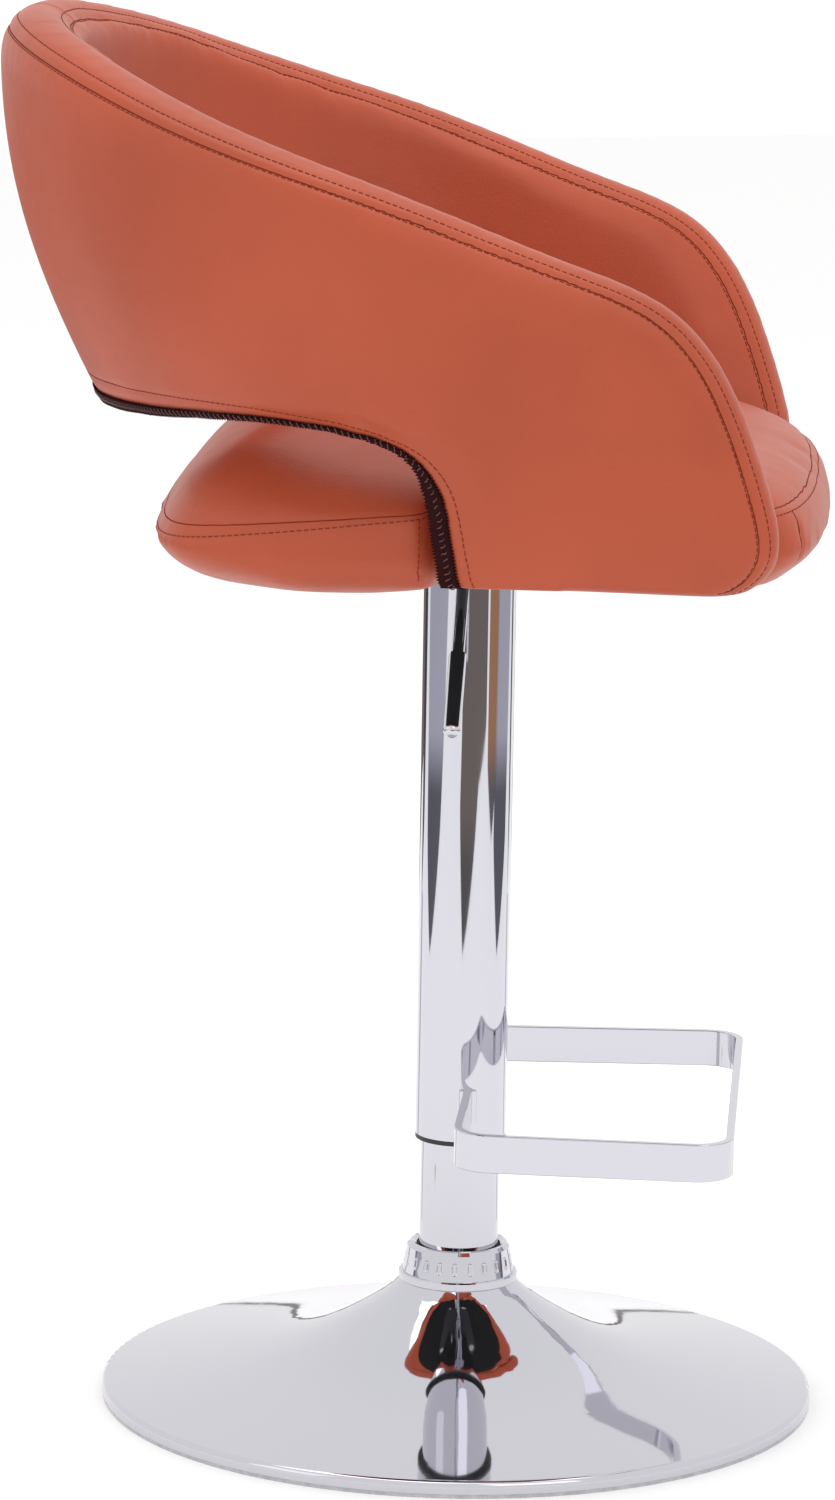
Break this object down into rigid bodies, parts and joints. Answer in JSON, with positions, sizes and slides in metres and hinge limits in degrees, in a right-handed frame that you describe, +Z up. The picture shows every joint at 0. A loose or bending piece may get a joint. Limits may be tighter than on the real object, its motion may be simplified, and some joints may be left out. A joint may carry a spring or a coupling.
{
  "type": "bar stool with footrest",
  "caption": "Gas-lift swivel bar stool with a padded wrap-around back, flat-bar footrest loop and round trumpet base.",
  "frame": {"origin": "centre of the base's ring on the floor, on the column's axis", "axes": "+Z up along the column; the sitter faces -Y; the height lever is on the -X side"},
  "size_m": [0.5328, 0.5161, 0.8793],
  "materials": {
    "chrome": "bright chrome plating",
    "faux_leather": "fine-grained terracotta faux leather, soft sheen",
    "zip_cloth": "woven dark maroon zip tape",
    "zip_plastic": "dark nylon coil",
    "zip_metal": "aged brass slider",
    "black_plastic": "moulded black plastic",
    "grey_plastic": "translucent grey plastic",
    "black_steel": "black powder coat",
    "bare_steel": "zinc-plated or ground steel",
    "rubber": "black rubber",
    "alloy": "machined",
    "plywood": "raw plywood",
    "dust_cloth": "black non-woven cloth"
  },
  "bodies": {
    "base": {"floor_ring": "grey_plastic", "ballast_plate": "black_steel", "base_dish": "chrome", "column_socket": "black_steel", "socket_bolts": "bare_steel", "base_collar": "chrome", "collar_seal": "rubber", "column_tube": "chrome", "guide_bush": "black_plastic", "bearing_race": "bare_steel", "bearing_balls": "bare_steel", "bearing_cage": "black_plastic"},
    "rod": {"bearing_washer": "bare_steel", "rod_bumper": "rubber", "piston_rod": "bare_steel", "rod_clip": "bare_steel", "piston": "alloy", "piston_seal": "rubber"},
    "seat": {"pressure_tube": "black_steel", "rod_guide": "black_plastic", "rod_seal": "rubber", "outer_tube": "chrome", "tube_bush": "black_plastic", "footrest": "chrome", "footrest_welds": "chrome", "seat_plate": "black_steel", "taper_socket": "black_steel", "lever_pin": "bare_steel", "seat_bolts": "bare_steel", "bolt_washers": "bare_steel", "tee_nuts": "bare_steel", "seat_board": "plywood", "dust_cover": "dust_cloth", "seat_cushion": "faux_leather", "back_frame": "plywood", "back_band": "faux_leather", "arm_brackets": "bare_steel", "bracket_screws": "bare_steel", "zip_tape": "zip_cloth", "zip_coil": "zip_plastic", "zip_slider": "zip_metal"},
    "lever": {"lever_rod": "chrome", "lever_sleeve": "chrome"},
    "valve": {"valve_pin": "bare_steel"}
  },
  "joints": [
    {"name": "seat_swivel", "type": "hinge", "parent": "base", "child": "rod", "pos_m": [0, 0, 0.014], "axis": [0, 0, 1], "continuous": true},
    {"name": "seat_lift", "type": "slide", "parent": "rod", "child": "seat", "axis": [0, 0, 1], "range_m": [-0.06, 0.15]},
    {"name": "height_lever", "type": "hinge", "parent": "seat", "child": "lever", "pos_m": [-0.022, 0, 0.5375], "axis": [0, 1, 0], "range_deg": [0, 8], "stiffness_Nm_per_rad": 1.2, "springref_deg": -14.32},
    {"name": "valve_stroke", "type": "slide", "parent": "seat", "child": "valve", "axis": [0, 0, 1], "range_m": [-0.0035, 0]}
  ],
  "couplings": [
    {"joint": "valve_stroke", "follows": "height_lever", "m_per_rad": -0.022}
  ]
}
